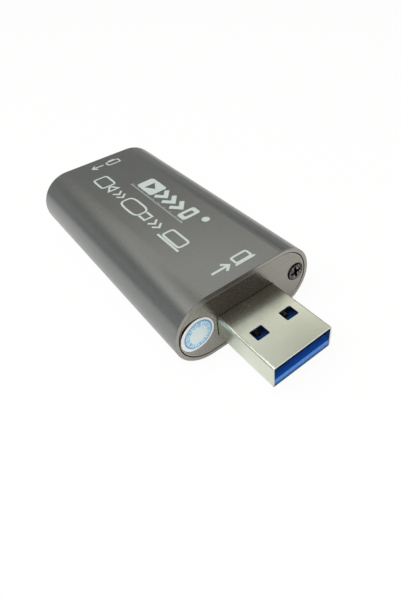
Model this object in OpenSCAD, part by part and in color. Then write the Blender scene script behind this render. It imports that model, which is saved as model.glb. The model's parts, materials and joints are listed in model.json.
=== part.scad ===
// Video capture box: an extruded sleeve closed by two screwed end plates, with a board inside
// that carries a host plug at the +X end and a video socket at the -X end.
// Millimetres, +Z up. The origin lies under the middle of the whole length, on the face it rests on.

/* [Sleeve] */
// Length of the sleeve
sleeve_l = 52; // [46:0.5:70]
// Width of the sleeve across its round sides
sleeve_w = 28; // [27:0.5:36]
// Height of the sleeve between its flat faces
sleeve_h = 13.2; // [12.6:0.1:16]
// Wall thickness of the sleeve
sleeve_wall = 0.7; // [0.6:0.05:1.1]
// Chamfer on the outer edges of the sleeve's ends
sleeve_chamfer = 0.1; // [0.05:0.05:0.5]
// Outer radius of the screw channels
channel_r = 1.75; // [1.5:0.05:2]
// How far the guides reach over the board's edges
guide_reach = 1.2; // [0.8:0.1:1.8]
// Thickness of the ledges under the board
ledge_t = 0.8; // [0.5:0.1:1.2]

/* [End plates] */
// Thickness of the end plates
plate_t = 1.6; // [1.2:0.1:2.2]
// Clearance between an end plate and the sleeve round it
plate_gap = 0.2; // [0.1:0.05:0.4]
// How far an end plate sits inside the sleeve's end
plate_recess = 0.1; // [0.1:0.05:0.4]
// Clearance round the plug and the socket in the end plates
cutout_gap = 0.1; // [0.05:0.05:0.35]

/* [Screws] */
// Thread radius of the plate screws
screw_r = 0.96; // [0.8:0.02:1.1]
// Depth of the screw thread
thread_depth = 0.18; // [0.1:0.02:0.25]
// Pitch of the screw thread
thread_pitch = 0.4; // [0.3:0.05:0.5]
// Clearance between a screw and its hole
screw_play = 0.04; // [0.02:0.01:0.08]
// Radius of the raised countersunk screw heads
head_r = 1.7; // [1.5:0.05:2]
// Plate left between a screw head and the plate's side
head_margin = 0.35; // [0.15:0.05:0.6]
// How far the screw heads stand out of the plate's face
head_proud = 0.18; // [0.1:0.02:0.4]
// Round-over of the screw heads' edges, cut as a bevel
head_bevel = 0.06; // [0.02:0.02:0.1]
// Height of the screws above the sleeve's middle
screw_rise = 0.35; // [-0.4:0.05:0.4]
// Length of a screw with its head
screw_l = 6; // [4:0.5:9]
// Width of the slots of the cross recess
recess_w = 0.55; // [0.3:0.05:0.7]
// Length of the slots of the cross recess
recess_l = 2.3; // [1.6:0.1:2.6]
// Depth of the cross recess
recess_depth = 0.6; // [0.4:0.05:0.9]
// Turn at which the screws came to a stop
recess_turn = 10; // [0:5:45]

/* [Seal] */
// Thickness of the paper seal over one screw
seal_t = 0.08; // [0.05:0.01:0.1]
// Plate left between the seal and the plate's side
seal_side_margin = 0.05; // [0.05:0.05:0.4]
// Plate left between the seal and the plug's opening
seal_plug_margin = 0.65; // [0.1:0.05:0.9]
// How far the seal's middle lies below the screw's
seal_drop = 0.2; // [0:0.05:0.4]

/* [Host plug] */
// Width of the plug
plug_w = 12; // [11.8:0.05:12.2]
// Height of the plug
plug_h = 4.5; // [4.4:0.05:4.7]
// How far the plug stands out of the sleeve
plug_reach = 12.8; // [12:0.1:16]
// Length of the plug inside the case
plug_tail = 6; // [5.4:0.1:7]
// Sheet thickness of the plug's shell
plug_sheet = 0.3; // [0.2:0.02:0.36]
// Outer bend radius of the plug's shell
plug_bend = 0.5; // [0.4:0.05:0.7]
// How far the plug sinks below the board's top
plug_sink = 0.7; // [0.45:0.05:0.8]
// Length of the latch windows along the plug
window_l = 2.15; // [1.8:0.05:2.6]
// Width of the latch windows across the plug
window_w = 2.45; // [1.8:0.05:2.6]
// Corner radius of the latch windows
window_corner_r = 0.25; // [0.1:0.05:0.5]
// Distance between the two windows of a row
window_pitch = 6; // [5.4:0.05:6.6]
// Distance from the plug's mouth to the windows' middle
window_setback = 6.2; // [5.8:0.1:7]
// Thickness of the plug's tongue
tongue_t = 1.6; // [1.5:0.05:2]
// Free room at each side of the tongue
tongue_side_gap = 0.05; // [0.05:0.05:0.4]
// How far the tongue's tip lies behind the mouth
tongue_setback = 0.1; // [0.05:0.05:0.5]
// Height of the lead-in slope at the tongue's tip
tongue_lead_h = 0.5; // [0.1:0.05:0.8]
// Length of the lead-in slope at the tongue's tip
tongue_lead_l = 0.8; // [0.5:0.1:2.6]
// Depth of the open mouth above the tongue
mouth_depth = 11.4; // [11:0.1:12]
// Length of a solder tab along the plug
tab_l = 2.5; // [1.5:0.1:3]
// How far a solder tab stands out from the plug's side
tab_reach = 1.8; // [1.2:0.1:2.4]

/* [Contact springs of the plug] */
// Length of a contact spring from its root to its tip
spring_l = 3.4; // [3:0.1:3.8]
// Width of a contact spring
spring_w = 0.7; // [0.5:0.05:0.8]
// Sheet thickness of a contact spring
spring_t = 0.2; // [0.15:0.01:0.25]
// How far a contact spring stands above the tongue
spring_rise = 0.45; // [0.3:0.05:0.6]
// Free room at each side of a contact spring
spring_play = 0.12; // [0.08:0.02:0.15]
// Depth of the pocket under a contact spring
pocket_depth = 0.75; // [0.7:0.05:0.9]

/* [Video socket] */
// Inner width of the socket
socket_w = 14; // [13.9:0.05:14.4]
// Inner height of the socket
socket_h = 4.55; // [4.5:0.05:4.8]
// Inner width of the socket's floor between its slanted corners
socket_floor_w = 10; // [9.4:0.1:10.6]
// Height of the socket's slanted corners
socket_corner_h = 1.9; // [1.6:0.1:2.2]
// Depth of the socket's shell
socket_d = 11; // [10.5:0.1:12]
// Sheet thickness of the socket's shell
socket_sheet = 0.3; // [0.2:0.02:0.36]
// Height of the socket's shell above the board
socket_lift = 0.5; // [0.45:0.05:0.8]
// How far the socket's mouth lies behind the plate's face
socket_setback = 0.4; // [0.2:0.05:0.8]
// Thickness of the socket's tongue
blade_t = 1; // [0.9:0.05:1.2]
// Width of the socket's tongue
blade_w = 11.2; // [10.8:0.1:11.6]
// How far the socket's tongue lies behind the mouth
blade_setback = 1.8; // [1.4:0.1:2.4]
// Depth of the insulating block at the socket's back
block_d = 3; // [2.6:0.1:3.4]
// Length of a shell finger from its root to its tip
finger_l = 5; // [4.6:0.1:5.4]
// Width of a shell finger
finger_w = 1.8; // [1.4:0.1:2.2]
// How far a shell finger stands into the socket
finger_dip = 0.35; // [0.25:0.05:0.4]
// Free room round a shell finger
finger_play = 0.25; // [0.15:0.05:0.35]

/* [Board] */
// Thickness of the board
board_t = 1.2; // [1:0.1:1.6]
// Height of the board's underside above the base
board_rise = 2.6; // [2.4:0.1:3]
// Clearance between the board and the guides above it
board_play = 0.1; // [0.05:0.05:0.25]
// Clearance between the board's edge and the sleeve's wall
board_side_gap = 0.25; // [0.15:0.05:0.5]
// Clearance between the board's ends and the end plates
board_end_gap = 0.3; // [0.2:0.05:0.6]
// Thickness of the contact strips
strip_t = 0.2; // [0.15:0.01:0.22]

/* [Hidden] */
$fn = 64;
// Overlap that makes a cut or a joint between two solids clean
nick = 0.05;

// Places along X
total_l = sleeve_l + plug_reach;
plug_tip_x = total_l / 2;
sleeve_front_x = plug_tip_x - plug_reach;
sleeve_back_x = sleeve_front_x - sleeve_l;
plate_front_x = sleeve_front_x - plate_recess;
plate_back_x = sleeve_back_x + plate_recess;
inside_front_x = plate_front_x - plate_t;
inside_back_x = plate_back_x + plate_t;
plug_rear_x = sleeve_front_x - plug_tail;
plug_base_x = plug_tip_x - mouth_depth;
socket_mouth_x = plate_back_x + socket_setback;
socket_rear_x = socket_mouth_x + socket_d;
board_front_x = inside_front_x - board_end_gap;
board_back_x = inside_back_x + board_end_gap;

// Places along Z and the sleeve's section
mid_z = sleeve_h / 2;
board_top_z = board_rise + board_t;
plug_z = board_top_z - plug_sink + plug_h / 2;
tongue_z = plug_z - plug_h / 2 + plug_sheet;
tongue_top_z = tongue_z + tongue_t;
socket_floor_z = board_top_z + socket_lift + socket_sheet;
blade_z = socket_floor_z + socket_h / 2;
inner_r = sleeve_h / 2 - sleeve_wall;
round_y = sleeve_w / 2 - sleeve_h / 2;
function inner_half_w(z) = round_y + sqrt(inner_r * inner_r - (mid_z - z) * (mid_z - z));
board_half_w = inner_half_w(board_rise) - board_side_gap;

// Screws and seal on the plates
plate_half_w = sleeve_w / 2 - sleeve_wall - plate_gap;
screw_y = plate_half_w - head_margin - head_r;
screw_hole_r = screw_r + screw_play;
head_h = head_proud + head_r - screw_r + thread_depth;
screw_z = mid_z + screw_rise;
screw_tip_h = 0.6;
seal_outer_y = plate_half_w - seal_side_margin;
seal_inner_y = plug_w / 2 + cutout_gap + seal_plug_margin;
seal_r = (seal_outer_y - seal_inner_y) / 2;
seal_y = -(seal_outer_y + seal_inner_y) / 2;

// Contacts of the plug: places across it, and sizes
flat_contact_y = [-3.5, -1, 1, 3.5];
spring_contact_y = [-4, -2, 0, 2, 4];
flat_w = 1;
flat_tip_gap = 2.7;
flat_l = 2.8;
flat_proud = 0.05;
tail_w = 0.4;
tail_l = 1;
tail_gap = 0.5;
spring_root_r = 0.15;
spring_root_gap = 0.05;
spring_root_x = plug_base_x + 2 * spring_root_gap + spring_root_r;
spring_root_depth = 0.25;
spring_root_z = tongue_top_z - spring_root_depth;
spring_peak = 0.7;
notch_gap = 0.25;
notch_side_gap = 0.2;
tab_setback = 0.6;

// Contacts and fingers of the socket
upper_contact_count = 10;
lower_contact_count = 9;
contact_pitch = 1;
contact_w = 0.3;
contact_t = 0.15;
contact_proud = 0.05;
contact_tip_gap = 0.4;
contact_foot_l = 1;
upper_riser_gap = 0.35;
lower_riser_gap = 0.1;
block_fit = 0.03;
finger_root_gap = 0.03;
finger_root_setback = 7.4;
finger_y = [-3, 3];
finger_peak = 0.84;
leg_l = 1.2;
leg_shoulder_l = 2;
leg_slot_gap = 0.15;
leg_stub = 0.4;
leg_setbacks = [3, 9];

// Free stretch of board between the feet of the socket and of the plug
free_back_x = socket_rear_x + upper_riser_gap + contact_t + contact_foot_l;
free_front_x = plug_rear_x - tail_gap - strip_t - tail_l;
free_mid_x = (free_back_x + free_front_x) / 2;

// Parts on the board: sizes, and places from the middle of the free stretch
chip_lift = 0.1;
cap_proud = 0.02;
row_gap = 0.2;
lead_t = 0.15;
lead_l = 1;
lead_knee_l = 0.35;
capture_size = [7, 7, 1.4];
capture_at = [-3.4, 0];
capture_lead_count = 16;
capture_lead_pitch = 0.4;
capture_lead_w = 0.18;
memory_size = [4.9, 3.9, 1.5];
memory_at = [4.6, 4.4];
memory_lead_count = 4;
memory_lead_pitch = 1.27;
memory_lead_w = 0.4;
crystal_size = [3.2, 2.5, 0.4];
crystal_lid = [2.8, 2.1, 0.35];
crystal_at = [3, 0];
regulator_size = [2.9, 1.6, 1];
regulator_at = [[3.2, -4.4], [7, -4.4]];
regulator_lead_counts = [3, 2];
regulator_lead_pitch = 0.95;
regulator_lead_w = 0.35;
inductor_size = [2.5, 2, 1.2];
inductor_terminal = 0.5;
inductor_shift = -2.2;
tantalum_size = [3.2, 1.6, 1.5];
tantalum_shift = 1.9;
tantalum_terminal = [0.7, 1.2, 0.8];
ceramic_size = [1, 0.5, 0.5];
ceramic_cap_l = 0.25;
ceramic_count = 5;
ceramic_pitch = 1.6;
resistor_size = [0.5, 1, 0.35];
resistor_count = 8;
resistor_pitch = 1.3;
surge_size = [1, 2.5, 0.55];
surge_count = 4;
surge_pitch = 3.6;
choke_size = [2, 1.2, 0.9];
choke_at = [[8.8, -0.9], [8.8, 0.9]];

// Rows beside the capture chip's leads, each a clearance away from the row before it
ceramic_y = capture_size[1] / 2 + lead_l + row_gap + ceramic_size[1] / 2;
outer_row_y = ceramic_y + ceramic_size[1] / 2 + row_gap;
resistor_x = capture_at[0] - capture_size[0] / 2 - lead_l - row_gap - resistor_size[0] / 2;
surge_x = resistor_x - resistor_size[0] / 2 - row_gap - surge_size[0] / 2;

// Colours
gunmetal = [0.42, 0.41, 0.39];
nickel = [0.78, 0.77, 0.7];
steel = [0.72, 0.73, 0.74];
blue = [0.03, 0.2, 0.62];
gold = [0.85, 0.68, 0.3];
black = [0.06, 0.06, 0.07];
paper = [0.85, 0.92, 0.97];
board_green = [0.06, 0.3, 0.16];
epoxy = [0.1, 0.1, 0.11];
tin = [0.75, 0.75, 0.76];
ferrite = [0.25, 0.25, 0.27];
amber = [0.75, 0.5, 0.12];
ceramic = [0.62, 0.5, 0.36];

// Shapes that repeat

// Extrudes a section drawn in Y and Z along X
module along_x(x, length) {
    translate([x, 0, 0]) rotate([90, 0, 90]) linear_extrude(length) children();
}

// Extrudes a profile drawn in X and Z across Y, centred on y
module across_y(y, width) {
    translate([0, y + width / 2, 0]) rotate([90, 0, 0]) linear_extrude(width) children();
}

// Box between two X places, two Z places and a width centred on y
module bar(x0, x1, y, width, z0, z1) {
    translate([x0, y - width / 2, z0]) cube([x1 - x0, width, z1 - z0]);
}

// Section with flat top and bottom and round sides, centred at mid height
module stadium(width, height) {
    translate([0, mid_z]) {
        square([width - height, height], center = true);
        for (side = [-1, 1]) translate([side * (width - height) / 2, 0]) circle(d = height);
    }
}

// One chamfered end of the sleeve's outer shape, tapering towards local +Z
module stadium_chamfer(width, height, chamfer) {
    for (side = [-1, 1])
        translate([side * (width - height) / 2, 0, 0])
            cylinder(h = chamfer, r1 = height / 2, r2 = height / 2 - chamfer);
    half_h = height / 2;
    translate([(width - height) / 2, 0, 0]) rotate([90, 0, -90]) linear_extrude(width - height)
        polygon([[-half_h, 0], [half_h, 0], [half_h - chamfer, chamfer], [chamfer - half_h, chamfer]]);
}

// Rectangle with round corners, centred
module rounded_rect(width, height, r) {
    square([width - 2 * r, height], center = true);
    square([width, height - 2 * r], center = true);
    for (a = [-1, 1], b = [-1, 1]) translate([a * (width / 2 - r), b * (height / 2 - r)]) circle(r);
}

// Corners of the socket's section in Y and Z, moved outwards by margin
function socket_section(margin) =
    let (
        run = (socket_w - socket_floor_w) / 2,
        slant = sqrt(run * run + socket_corner_h * socket_corner_h),
        floor_shift = socket_corner_h / slant + (run - slant) * run / (socket_corner_h * slant),
        floor_y = socket_floor_w / 2 + margin * floor_shift,
        side_y = socket_w / 2 + margin,
        climb = (run + margin - margin * socket_corner_h / slant) * slant / run,
        corner_z = socket_floor_z - margin * run / slant + climb * socket_corner_h / slant,
        floor_z = socket_floor_z - margin,
        roof_z = socket_floor_z + socket_h + margin
    )
    [
        [-floor_y, floor_z], [floor_y, floor_z], [side_y, corner_z],
        [side_y, roof_z], [-side_y, roof_z], [-side_y, corner_z]
    ];

// Screw along local +Z with its head's face at the origin, pointing down
module screw() {
    thread_turns = floor((screw_l - head_h - screw_tip_h) / thread_pitch);
    thread_top = -head_h;
    root_r = screw_r - thread_depth;
    head = [[0, 0], [head_r - head_bevel, 0], [head_r, -head_bevel], [head_r, -head_proud]];
    thread = [for (i = [0 : thread_turns - 1]) each
        [[root_r, thread_top - i * thread_pitch], [screw_r, thread_top - (i + 0.5) * thread_pitch]]];
    thread_end = thread_top - thread_turns * thread_pitch;
    difference() {
        rotate_extrude()
            polygon(concat(head, thread, [[root_r, thread_end], [0, -screw_l]]));
        for (turn = [0, 90]) rotate(recess_turn + turn)
            bar(-recess_l / 2, recess_l / 2, 0, recess_w, -recess_depth, nick);
    }
}

// Countersunk hole along local +Z with its mouth at the origin
module countersink() {
    mouth_r = head_r + screw_play;
    back_z = -plate_t - nick;
    rotate_extrude() polygon([
        [0, nick], [mouth_r, nick], [mouth_r, 0], [screw_hole_r, screw_hole_r - mouth_r],
        [screw_hole_r, back_z], [0, back_z]
    ]);
}

// Places children at both screws of the plug's end, local +Z outwards
module at_plug_screws() {
    for (side = [-1, 1]) translate([plate_front_x, side * screw_y, screw_z]) rotate([0, 90, 0]) children();
}

// Places children at both screws of the socket's end, local +Z outwards
module at_socket_screws() {
    for (side = [-1, 1]) translate([plate_back_x, side * screw_y, screw_z]) rotate([0, -90, 0]) children();
}

// Blank end plate between its inner and outer face
module plate_blank(x) {
    inset = sleeve_wall + plate_gap;
    along_x(x, plate_t) stadium(sleeve_w - 2 * inset, sleeve_h - 2 * inset);
}

// Places children on the board's top, at a place given from the middle of its free stretch
module on_board(at) {
    translate([free_mid_x + at[0], at[1], board_top_z]) children();
}

// Box of a size that stands on the board's top
module part_box(size) {
    translate([-size[0] / 2, -size[1] / 2, 0]) cube(size);
}

// Bent lead from a package's side at local X = 0 down to the board, width along local Y
module bent_lead(width, body_h) {
    exit_z = chip_lift + body_h / 2;
    across_y(0, width) polygon([
        [0, exit_z], [lead_knee_l, exit_z], [lead_knee_l + lead_t / 2, lead_t], [lead_l, lead_t], [lead_l, 0],
        [lead_knee_l - lead_t / 2, 0], [lead_knee_l - lead_t, exit_z - lead_t], [0, exit_z - lead_t]
    ]);
}

// Places of a row of copies, centred on zero
function row_places(count, pitch) = [for (i = [0 : count - 1]) (i - (count - 1) / 2) * pitch];

// Row of bent leads along a package's side, with the side at half_w from the middle
module lead_row(count, pitch, width, half_w, body_h) {
    for (v = row_places(count, pitch)) translate([half_w, v, 0]) bent_lead(width, body_h);
}

// Block with metal end caps that stand a little proud, long side along X
module capped_block(size, cap_l) {
    translate([0, 0, cap_proud]) part_box([size[0], size[1] - 2 * cap_proud, size[2] - 2 * cap_proud]);
    for (side = [-1, 1])
        translate([side * (size[0] - cap_l) / 2, 0, 0]) part_box([cap_l, size[1], size[2]]);
}

// The case

// Extruded aluminium sleeve with screw channels and board guides inside
module sleeve() {
    inside_l = inside_front_x - inside_back_x;
    color(gunmetal) {
        difference() {
            union() {
                along_x(sleeve_back_x + sleeve_chamfer, sleeve_l - 2 * sleeve_chamfer)
                    stadium(sleeve_w, sleeve_h);
                translate([sleeve_front_x - sleeve_chamfer, 0, mid_z]) rotate([90, 0, 90])
                    stadium_chamfer(sleeve_w, sleeve_h, sleeve_chamfer);
                translate([sleeve_back_x + sleeve_chamfer, 0, mid_z]) rotate([90, 0, -90])
                    stadium_chamfer(sleeve_w, sleeve_h, sleeve_chamfer);
            }
            along_x(sleeve_back_x - nick, sleeve_l + 2 * nick)
                stadium(sleeve_w - 2 * sleeve_wall, sleeve_h - 2 * sleeve_wall);
        }
        along_x(inside_back_x, inside_l) intersection() {
            stadium(sleeve_w - sleeve_wall, sleeve_h - sleeve_wall);
            for (flip = [0, 1]) mirror([flip, 0]) sleeve_guide();
        }
    }
}

// Section of one side's screw channel and board guides
module sleeve_guide() {
    guide_y = board_half_w - guide_reach;
    difference() {
        union() {
            translate([screw_y, screw_z]) circle(channel_r);
            translate([screw_y, screw_z - channel_r]) square([sleeve_w / 2 - screw_y, 2 * channel_r]);
            translate([guide_y, board_top_z + board_play])
                square([sleeve_w / 2 - guide_y, mid_z - board_top_z - board_play]);
            translate([guide_y, board_rise - ledge_t]) square([sleeve_w / 2 - guide_y, ledge_t]);
        }
        translate([screw_y, screw_z]) circle(screw_hole_r);
    }
}

// End plate that the host plug comes out of
module plug_end_plate() {
    color(gunmetal) difference() {
        plate_blank(inside_front_x);
        along_x(inside_front_x - nick, plate_t + 2 * nick) translate([0, plug_z])
            rounded_rect(plug_w + 2 * cutout_gap, plug_h + 2 * cutout_gap, plug_bend + cutout_gap);
        at_plug_screws() countersink();
    }
}

// End plate round the video socket
module socket_end_plate() {
    color(gunmetal) difference() {
        plate_blank(plate_back_x);
        along_x(plate_back_x - nick, plate_t + 2 * nick) polygon(socket_section(socket_sheet + cutout_gap));
        at_socket_screws() countersink();
    }
}

// Two raised countersunk screws of the plug's end plate
module plug_plate_screws() {
    color(black) at_plug_screws() translate([0, 0, head_proud]) screw();
}

// Two raised countersunk screws of the socket's end plate
module socket_plate_screws() {
    color(black) at_socket_screws() translate([0, 0, head_proud]) screw();
}

// Paper seal that lies on the head of one screw beside the plug
module tamper_seal() {
    color(paper) translate([plate_front_x + head_proud, seal_y, screw_z - seal_drop]) rotate([0, 90, 0])
        cylinder(h = seal_t, r = seal_r);
}

// The host plug

// Bent sheet shell with latch windows above and below, and two solder tabs
module plug_shell() {
    shell_l = plug_tip_x - plug_rear_x;
    window_x = plug_tip_x - window_setback;
    tab_x = plug_rear_x + tab_setback;
    color(nickel) {
        difference() {
            along_x(plug_rear_x, shell_l) translate([0, plug_z])
                rounded_rect(plug_w, plug_h, plug_bend);
            along_x(plug_rear_x - nick, shell_l + 2 * nick) translate([0, plug_z])
                rounded_rect(plug_w - 2 * plug_sheet, plug_h - 2 * plug_sheet, plug_bend - plug_sheet);
            for (side = [-1, 1])
                translate([window_x, side * window_pitch / 2, plug_z - plug_h]) linear_extrude(2 * plug_h)
                    rounded_rect(window_l, window_w, window_corner_r);
        }
        for (side = [-1, 1])
            bar(tab_x, tab_x + tab_l, side * (plug_w + tab_reach - plug_sheet) / 2, tab_reach + plug_sheet,
                board_top_z, board_top_z + plug_sheet);
    }
}

// Blue insulator: the tongue that carries the contacts, and the base that fills the shell behind it
module plug_tongue() {
    inner_w = plug_w - 2 * plug_sheet;
    inner_h = plug_h - 2 * plug_sheet;
    tongue_w = inner_w - 2 * tongue_side_gap;
    tip_x = plug_tip_x - tongue_setback;
    pocket_w = spring_w + 2 * spring_play;
    pocket_l = spring_l + 2 * spring_root_r + 2 * spring_play;
    color(blue) difference() {
        union() {
            along_x(plug_rear_x, plug_base_x - plug_rear_x) translate([0, plug_z])
                rounded_rect(inner_w, inner_h, plug_bend);
            intersection() {
                across_y(0, tongue_w) polygon([
                    [plug_base_x - nick, tongue_z], [tip_x, tongue_z], [tip_x, tongue_top_z - tongue_lead_h],
                    [tip_x - tongue_lead_l, tongue_top_z], [plug_base_x - nick, tongue_top_z]
                ]);
                along_x(plug_rear_x, plug_tip_x - plug_rear_x) translate([0, plug_z])
                    rounded_rect(tongue_w, inner_h, plug_bend - plug_sheet);
            }
        }
        plug_flat_contacts();
        plug_spring_tails();
        for (y = spring_contact_y)
            bar(plug_base_x, plug_base_x + pocket_l, y, pocket_w,
                tongue_top_z - pocket_depth, tongue_top_z + nick);
    }
}

// Four flat contacts on the tongue, with runs through it to solder tails on the board
module plug_flat_contacts() {
    strip_x1 = plug_tip_x - tongue_setback - flat_tip_gap;
    strip_x0 = strip_x1 - flat_l;
    color(gold) for (y = flat_contact_y) {
        bar(strip_x0, strip_x1, y, flat_w, tongue_top_z + flat_proud - strip_t, tongue_top_z + flat_proud);
        bar(strip_x0, strip_x0 + strip_t, y, tail_w, board_top_z, tongue_top_z);
        bar(plug_rear_x - tail_gap - tail_l, strip_x0 + strip_t, y, tail_w,
            board_top_z, board_top_z + strip_t);
    }
}

// Fixed ends of the five spring contacts: runs through the base, down to solder tails on the board
module plug_spring_tails() {
    exit_x = plug_rear_x - tail_gap;
    color(gold) for (y = spring_contact_y) {
        bar(exit_x - strip_t, plug_base_x + spring_root_gap, y, tail_w,
            spring_root_z - strip_t / 2, spring_root_z + strip_t / 2);
        bar(exit_x - strip_t, exit_x, y, tail_w, board_top_z, spring_root_z);
        bar(exit_x - strip_t - tail_l, exit_x, y, tail_w, board_top_z, board_top_z + strip_t);
    }
}

// Five contact springs, each bowed up above the tongue and turning about the round root at its back
module plug_contact_springs() {
    peak_x = spring_l * spring_peak;
    peak_z = tongue_top_z + spring_rise - spring_root_z;
    tip_z = peak_z / 3;
    half_t = spring_t / 2;
    color(gold) for (y = spring_contact_y)
        translate([spring_root_x, 0, spring_root_z]) across_y(y, spring_w) {
            circle(spring_root_r);
            polygon([
                [0, -half_t], [peak_x, peak_z - spring_t], [spring_l, tip_z - half_t],
                [spring_l, tip_z + half_t], [peak_x, peak_z], [0, half_t]
            ]);
        }
}

// The video socket

// Stamped shell with slots for its fingers and four legs through the board
module socket_shell() {
    slot_x1 = socket_mouth_x + finger_root_setback + socket_sheet / 2 + finger_root_gap;
    slot_x0 = socket_mouth_x + finger_root_setback - finger_l - finger_play;
    slot_w = finger_w + 2 * finger_play;
    roof_z = socket_floor_z + socket_h;
    side_y = socket_w / 2 + socket_sheet / 2;
    shoulder_top_z = socket_section(0)[2][1] + leg_stub;
    color(steel) {
        difference() {
            along_x(socket_mouth_x, socket_d) polygon(socket_section(socket_sheet));
            along_x(socket_mouth_x - nick, socket_d + 2 * nick) polygon(socket_section(0));
            for (y = finger_y) {
                bar(slot_x0, slot_x1, y, slot_w, roof_z - nick, roof_z + socket_sheet + nick);
                bar(slot_x0, slot_x1, y, slot_w, socket_floor_z - socket_sheet - nick, socket_floor_z + nick);
            }
        }
        for (setback = leg_setbacks, side = [-1, 1]) {
            leg_x = socket_mouth_x + setback;
            bar(leg_x - leg_shoulder_l / 2, leg_x + leg_shoulder_l / 2, side * side_y, socket_sheet,
                board_top_z, shoulder_top_z);
            bar(leg_x - leg_l / 2, leg_x + leg_l / 2, side * side_y, socket_sheet,
                board_rise - leg_stub, board_top_z + leg_stub);
        }
    }
}

// Black insulator: the block at the socket's back and the tongue that carries the contacts
module socket_tongue() {
    color(black) difference() {
        union() {
            along_x(socket_rear_x - block_d, block_d) polygon(socket_section(-block_fit));
            bar(socket_mouth_x + blade_setback, socket_rear_x - block_d + nick, 0, blade_w,
                blade_z - blade_t / 2, blade_z + blade_t / 2);
        }
        socket_upper_contacts();
        socket_lower_contacts();
    }
}

// Row of socket contacts: strips on the tongue, risers behind the block and feet on the board
module socket_contacts(count, z0, riser_gap) {
    strip_x0 = socket_mouth_x + blade_setback + contact_tip_gap;
    riser_x0 = socket_rear_x + riser_gap;
    riser_x1 = riser_x0 + contact_t;
    color(gold) for (y = row_places(count, contact_pitch)) {
        bar(strip_x0, riser_x1, y, contact_w, z0, z0 + contact_t);
        bar(riser_x0, riser_x1, y, contact_w, board_top_z, z0 + contact_t);
        bar(riser_x0, riser_x1 + contact_foot_l, y, contact_w, board_top_z, board_top_z + contact_t);
    }
}

// Ten contacts on top of the socket's tongue
module socket_upper_contacts() {
    strip_z = blade_z + blade_t / 2 + contact_proud - contact_t;
    socket_contacts(upper_contact_count, strip_z, upper_riser_gap);
}

// Nine contacts under the socket's tongue
module socket_lower_contacts() {
    strip_z = blade_z - blade_t / 2 - contact_proud;
    socket_contacts(lower_contact_count, strip_z, lower_riser_gap);
}

// One shell finger in X and Z with its round root at the origin, reaching towards -X and dipping towards -Z
module finger_profile() {
    peak_x = -finger_l * finger_peak;
    half_t = socket_sheet / 2;
    circle(half_t);
    polygon([
        [0, half_t], [0, -half_t], [peak_x, -half_t - finger_dip], [-finger_l, -half_t],
        [-finger_l, half_t], [peak_x, half_t - finger_dip]
    ]);
}

// Two fingers in the socket's roof that press on an inserted plug
module socket_upper_fingers() {
    root_z = socket_floor_z + socket_h + socket_sheet / 2;
    color(steel) for (y = finger_y)
        translate([socket_mouth_x + finger_root_setback, 0, root_z]) across_y(y, finger_w) finger_profile();
}

// Two fingers in the socket's floor
module socket_lower_fingers() {
    root_z = socket_floor_z - socket_sheet / 2;
    color(steel) for (y = finger_y)
        translate([socket_mouth_x + finger_root_setback, 0, root_z]) across_y(y, finger_w)
            mirror([0, 1]) finger_profile();
}

// The board and the parts on it

// Circuit board with a notch for the plug and slots for the socket's legs
module circuit_board() {
    leg_y = socket_w / 2 + socket_sheet / 2;
    color(board_green) difference() {
        bar(board_back_x, board_front_x, 0, 2 * board_half_w, board_rise, board_top_z);
        bar(plug_rear_x - notch_gap, board_front_x + nick, 0, plug_w + 2 * notch_side_gap,
            board_rise - nick, board_top_z + nick);
        for (setback = leg_setbacks, side = [-1, 1]) {
            leg_x = socket_mouth_x + setback;
            bar(leg_x - leg_l / 2 - leg_slot_gap, leg_x + leg_l / 2 + leg_slot_gap, side * leg_y,
                socket_sheet + 2 * leg_slot_gap, board_rise - nick, board_top_z + nick);
        }
    }
}

// Flat square package that turns the video signal into bus data
module capture_chip() {
    color(epoxy) on_board(capture_at) translate([0, 0, chip_lift]) part_box(capture_size);
}

module capture_chip_leads() {
    color(tin) on_board(capture_at) for (turn = [0 : 90 : 270]) rotate(turn)
        lead_row(capture_lead_count, capture_lead_pitch, capture_lead_w,
            capture_size[0] / 2, capture_size[2]);
}

// Memory package with a row of leads at each long side
module memory_chip() {
    color(epoxy) on_board(memory_at) translate([0, 0, chip_lift]) part_box(memory_size);
}

module memory_chip_leads() {
    color(tin) on_board(memory_at) for (turn = [90, 270]) rotate(turn)
        lead_row(memory_lead_count, memory_lead_pitch, memory_lead_w, memory_size[1] / 2, memory_size[2]);
}

// Clock crystal in a ceramic tray with a metal lid
module clock_crystal() {
    color(steel) on_board(crystal_at) {
        part_box(crystal_size);
        translate([0, 0, crystal_size[2]]) part_box(crystal_lid);
    }
}

// Two voltage regulators
module voltage_regulators() {
    color(epoxy) for (at = regulator_at) on_board(at) translate([0, 0, chip_lift]) part_box(regulator_size);
}

// Leads of the regulators: three on one side and two on the other
module regulator_leads() {
    color(tin) for (at = regulator_at) on_board(at) {
        for (row = [0, 1]) rotate(90 + 180 * row)
            lead_row(regulator_lead_counts[row], regulator_lead_pitch * (row + 1), regulator_lead_w,
                regulator_size[1] / 2, regulator_size[2]);
    }
}

// Two power inductors with a terminal at each end
module power_inductors() {
    row_y = outer_row_y + inductor_size[1] / 2;
    color(ferrite) for (side = [-1, 1])
        on_board([capture_at[0] + inductor_shift, side * row_y])
            capped_block(inductor_size, inductor_terminal);
}

// Two moulded tantalum capacitors on folded terminals
module tantalum_capacitors() {
    terminal_x = (tantalum_size[0] - tantalum_terminal[0] + lead_t) / 2;
    row_y = outer_row_y + tantalum_size[1] / 2;
    color(amber) for (side = [-1, 1]) on_board([capture_at[0] + tantalum_shift, side * row_y]) {
        translate([0, 0, chip_lift]) part_box(tantalum_size);
        for (end = [-1, 1]) translate([end * terminal_x, 0, 0]) part_box(tantalum_terminal);
    }
}

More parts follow.
